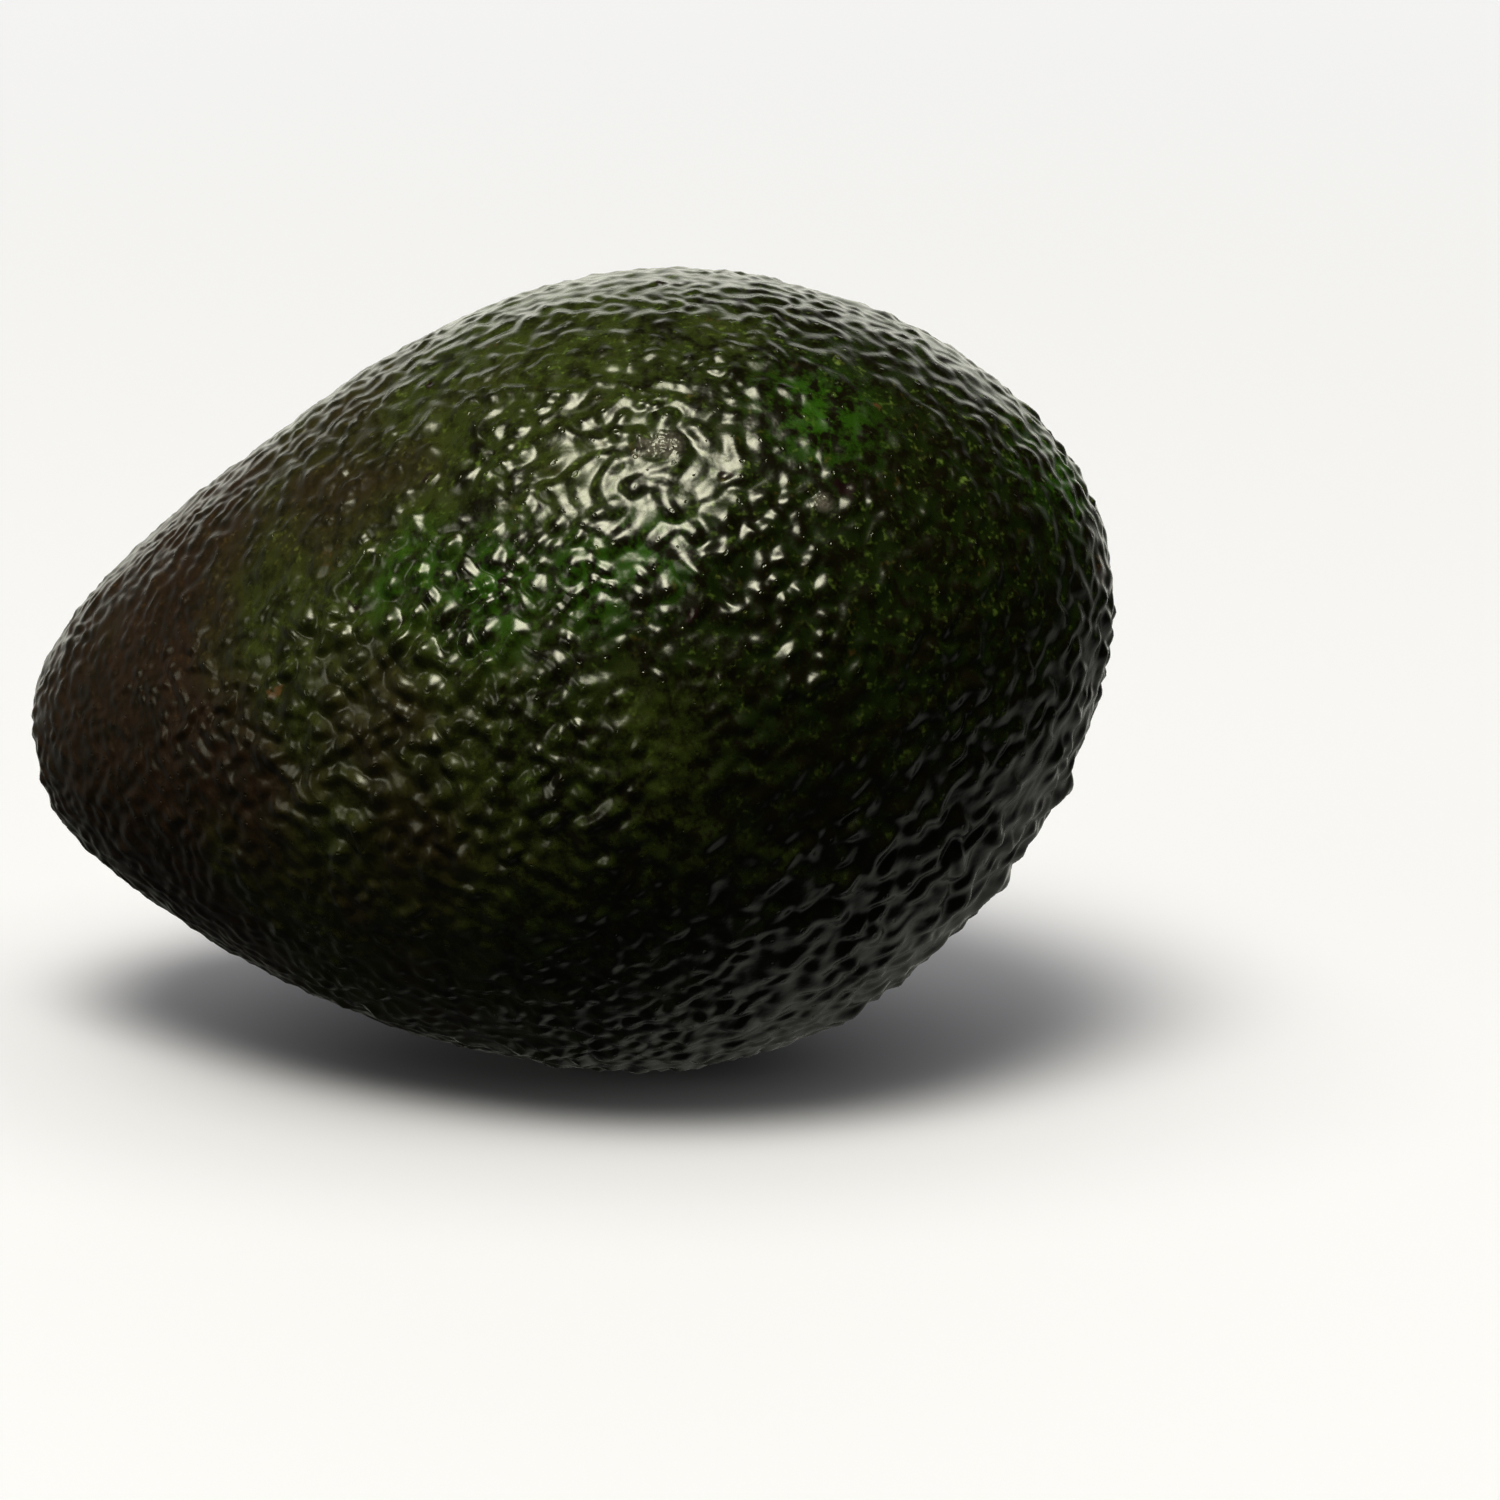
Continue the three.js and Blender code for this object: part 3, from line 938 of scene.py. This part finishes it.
def button_material():
    """Dark furrowed bark, and a pale cut face with darker rings and a dark pith."""
    material = bpy.data.materials.new("stem")
    material.use_nodes = True
    n = Nodes(material.node_tree)
    surface = material.node_tree.nodes["Principled BSDF"]
    place = n.vector("SCALE", n.add("ShaderNodeTexCoord").outputs["Object"], scale=1 / MM)
    distance, _ = round_stem(n, place)
    from_seat = n.vector("SUBTRACT", place, tuple(SEAT / MM))
    height = n.vector("DOT_PRODUCT", from_seat, tuple(STEM_AXIS))
    blotch = n.noise(place, *BLOTCHES)
    uneven = n.math("MULTIPLY_ADD", blotch, BLOTCH_REACH, distance)
    rings = n.math("SINE", n.math("MULTIPLY", uneven, RING_RATE))
    wood = n.mix(n.ramp(rings, *RING_RAMP), solid(CUT_WOOD), solid(CUT_WOOD_DARK))
    wood = n.mix(n.ramp(uneven, *PITH_RAMP), wood, solid(PITH))
    face = n.math("MULTIPLY", n.ramp(uneven, *CUT_FACE_RAMP), n.ramp(height, *CUT_HEIGHT_RAMP))
    colour = n.mix(face, solid(BARK), wood)
    colour = n.mix(n.ramp(blotch, *BLOTCH_RAMP), colour, solid(CUT_WOOD_DARK))
    n.put(surface.inputs["Base Color"], colour)
    surface.inputs["Roughness"].default_value = 0.8
    surface.inputs["Specular IOR Level"].default_value = 0.25
    fibre = n.math("MULTIPLY", n.noise(place, *FIBRES), FIBRE_RISE)
    bump = n.add("ShaderNodeBump", {"Height": fibre, "Distance": 1.0})
    n.put(surface.inputs["Normal"], bump.outputs[0])
    return material


# ---------------------------------------------------------------- floor and light

STUDIO_RADIUS = 4.0
STUDIO_SEGMENTS = 96
FLOOR_COLOUR = (0.605, 0.605, 0.76)  # makes up for the key's warmth, so that the floor comes out neutral
FLOOR_GLOW = 0.30
BACKDROP_BRIGHTNESS = 0.95
BLACK = (0, 0, 0)
# A ramp of the distance from the fruit, over which the floor fades into the backdrop.
FLOOR_FADE_RAMP = (0.15, 0.9)
# The oval of painted shadow round the fruit's contact with the floor: its half sides, and ramps of the
# distance from its middle as a share of them.
CONTACT_HALF_SIDES = (0.075, 0.055)
CONTACT_SHADOW_GLOW_RAMP = (0.15, 1.2, 0.02 * FLOOR_GLOW, FLOOR_GLOW)
CONTACT_SHADOW_DARK_RAMP = (0.15, 0.7, 0.5, 0.0)

KEY_COLOUR = (1.0, 0.98, 0.73)
FILL_COLOUR = (1.0, 0.98, 0.75)
# Round soft lights: azimuth, elevation and half the angle that each spans from the fruit, in degrees, then
# distance, radiance in the middle and colour. Each fades towards its edge, as a softbox does.
LIGHTS = (
    ("key", -8, 66, 21.5, 3.0, 23, KEY_COLOUR),
    ("fill", -48, 12, 15.5, 3.0, 3.4, FILL_COLOUR),
)
LIGHT_CORE = 0.1  # share of each light's radius that is evenly bright

BACK_COLOUR = (1.0, 1.0, 0.88)
BACK_LIGHT = 1.6  # of the pale wall behind the fruit
LEFT_LIGHT = 0.035  # from the far left
AMBIENT = 0.012  # from the right
FLOOR_BOUNCE = 0.02  # light from below, as a pale floor throws back
# Ramps of a direction's X, Y and Z, which place that light.
WALL_X_RAMP = (0.05, 0.45, 1.0, 0.12)
WALL_Y_RAMP = (0.62, 0.96)
WALL_Z_RAMP = (0.35, 0.75, BACK_LIGHT, 0.0)
LEFT_X_RAMP = (0.3, -1.0, AMBIENT, LEFT_LIGHT)
ABOVE_Z_RAMP = (-0.6, 0.0)
BOUNCE_Z_RAMP = (-0.1, -0.6, 0.0, FLOOR_BOUNCE)
# Soft round patches of light at the sides: azimuth, elevation, the cosine of the angle from the middle to
# the edge, and radiance.
SIDE_PATCHES = (
    (140, -48, 0.72, 0.22),
    (-124, 0, 0.68, 0.09),
)


def direction_of(azimuth, elevation):
    """A unit vector. Azimuth 0 is towards -Y, and it turns towards +X."""
    azimuth, elevation = math.radians(azimuth), math.radians(elevation)
    cos_e = math.cos(elevation)
    return Vector((math.sin(azimuth) * cos_e, -math.cos(azimuth) * cos_e, math.sin(elevation)))


def plain_material(name, colour, glow):
    material = bpy.data.materials.new(name)
    material.use_nodes = True
    surface = material.node_tree.nodes["Principled BSDF"]
    surface.inputs["Base Color"].default_value = solid(colour)
    surface.inputs["Roughness"].default_value = 1.0
    surface.inputs["Specular IOR Level"].default_value = 0.0
    surface.inputs["Emission Color"].default_value = (1, 1, 1, 1)
    surface.inputs["Emission Strength"].default_value = glow
    material.cycles.emission_sampling = "NONE"
    return material


def stage_piece(name, shape, material):
    """Part of the studio, which casts no light or reflection on the fruit."""
    mesh = bpy.data.meshes.new(name)
    shape.to_mesh(mesh)
    shape.free()
    mesh.materials.append(material)
    piece = link(bpy.data.objects.new(name, mesh))
    piece.visible_glossy = False
    piece.visible_diffuse = False
    return piece


def floor_material():
    """A pale floor that glows a little, with a painted shadow under the fruit where it glows less and
    darkens, and that meets the backdrop's white far away.
    """
    material = plain_material("floor", FLOOR_COLOUR, FLOOR_GLOW)
    n = Nodes(material.node_tree)
    surface = material.node_tree.nodes["Principled BSDF"]
    half_x, half_y = CONTACT_HALF_SIDES
    place = n.add("ShaderNodeTexCoord").outputs["Object"]
    away = n.vector("LENGTH", n.vector("MULTIPLY", place, (1 / half_x, 1 / half_y, 0)))
    far = n.ramp(n.vector("LENGTH", place), *FLOOR_FADE_RAMP)
    # Black far away, where the backdrop's glow takes over, and darker under the fruit, a painted shadow.
    dark_and_shade = n.math("MAXIMUM", far, n.ramp(away, *CONTACT_SHADOW_DARK_RAMP))
    n.put(surface.inputs["Base Color"], n.mix(dark_and_shade, solid(FLOOR_COLOUR), solid(BLACK)))
    # The glow is less under the fruit, a painted shadow.
    glow = n.ramp(away, *CONTACT_SHADOW_GLOW_RAMP)
    glow = n.math("MULTIPLY_ADD", far, BACKDROP_BRIGHTNESS - FLOOR_GLOW, glow)
    n.put(surface.inputs["Emission Strength"], glow)
    return material


def make_studio():
    floor = bmesh.new()
    bmesh.ops.create_circle(floor, cap_ends=True, segments=STUDIO_SEGMENTS, radius=STUDIO_RADIUS)
    stage_piece("floor", floor, floor_material())
    dome = bmesh.new()
    segments = {"u_segments": STUDIO_SEGMENTS, "v_segments": STUDIO_SEGMENTS // 2}
    bmesh.ops.create_uvsphere(dome, radius=STUDIO_RADIUS, **segments)
    backdrop = stage_piece("backdrop", dome, plain_material("backdrop", BLACK, BACKDROP_BRIGHTNESS))
    backdrop.visible_shadow = False
    backdrop.visible_transmission = False


def make_light(name, azimuth, elevation, half_angle, distance, radiance, colour):
    """A disc that faces the fruit. Its power gives the wanted radiance in its middle."""
    radius = distance * math.tan(math.radians(half_angle))
    area = math.pi * radius**2
    data = bpy.data.lights.new(name, "AREA")
    data.shape = "DISK"
    data.size = 2 * radius
    data.energy = radiance * math.pi * area
    data.color = colour
    data.use_nodes = True
    n = Nodes(data.node_tree)
    spot = n.add("ShaderNodeNewGeometry").outputs["Parametric"]
    from_middle = n.vector("DISTANCE", spot, (0.5, 0.5, 0.0))  # the disc's edge is at 0.5
    fading = n.ramp(from_middle, 0.5 * LIGHT_CORE, 0.5, 1.0, 0.0)
    n.put(data.node_tree.nodes["Emission"].inputs["Strength"], fading)
    towards = direction_of(azimuth, elevation)
    light = link(bpy.data.objects.new(name, data))
    light.location = FRUIT_MIDDLE + towards * distance
    light.rotation_euler = towards.to_track_quat("Z", "Y").to_euler()
    light.visible_camera = False


def make_world():
    """A pale wall behind the fruit, patches of light at its sides, and a little light all round."""
    world = bpy.data.worlds.new("world")
    bpy.context.scene.world = world
    world.use_nodes = True
    n = Nodes(world.node_tree)
    outward = n.add("ShaderNodeTexCoord").outputs["Generated"]
    parts = n.parts(outward)
    behind = n.math("MULTIPLY", n.ramp(parts["Y"], *WALL_Y_RAMP), n.ramp(parts["Z"], *WALL_Z_RAMP))
    behind = n.math("MULTIPLY", behind, n.ramp(parts["X"], *WALL_X_RAMP))
    left = n.ramp(parts["X"], *LEFT_X_RAMP)
    above = n.math("MULTIPLY", n.math("ADD", behind, left), n.ramp(parts["Z"], *ABOVE_Z_RAMP))
    strength = n.math("ADD", above, n.ramp(parts["Z"], *BOUNCE_Z_RAMP))
    for azimuth, elevation, edge, radiance in SIDE_PATCHES:
        towards = n.vector("DOT_PRODUCT", outward, tuple(direction_of(azimuth, elevation)))
        strength = n.math("ADD", strength, n.ramp(towards, edge, 1.0, 0.0, radiance))
    background = world.node_tree.nodes["Background"]
    background.inputs["Color"].default_value = solid(BACK_COLOUR)
    n.put(background.inputs["Strength"], strength)


# ---------------------------------------------------------------- the scene


def write_sizes():
    """Brings the view layer up to date."""
    bpy.context.view_layer.update()


fruit_skin = make_fruit()
fruit_skin.data.materials.append(skin_material())
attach(fruit_skin, "root")
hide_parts("fruit")

stem_button_wood = make_button()
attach(stem_button_wood, "root")
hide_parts("stem_button")

make_studio()
for light_row in LIGHTS:
    make_light(*light_row)
make_world()
bpy.context.scene.view_settings.view_transform = "Standard"

write_sizes()
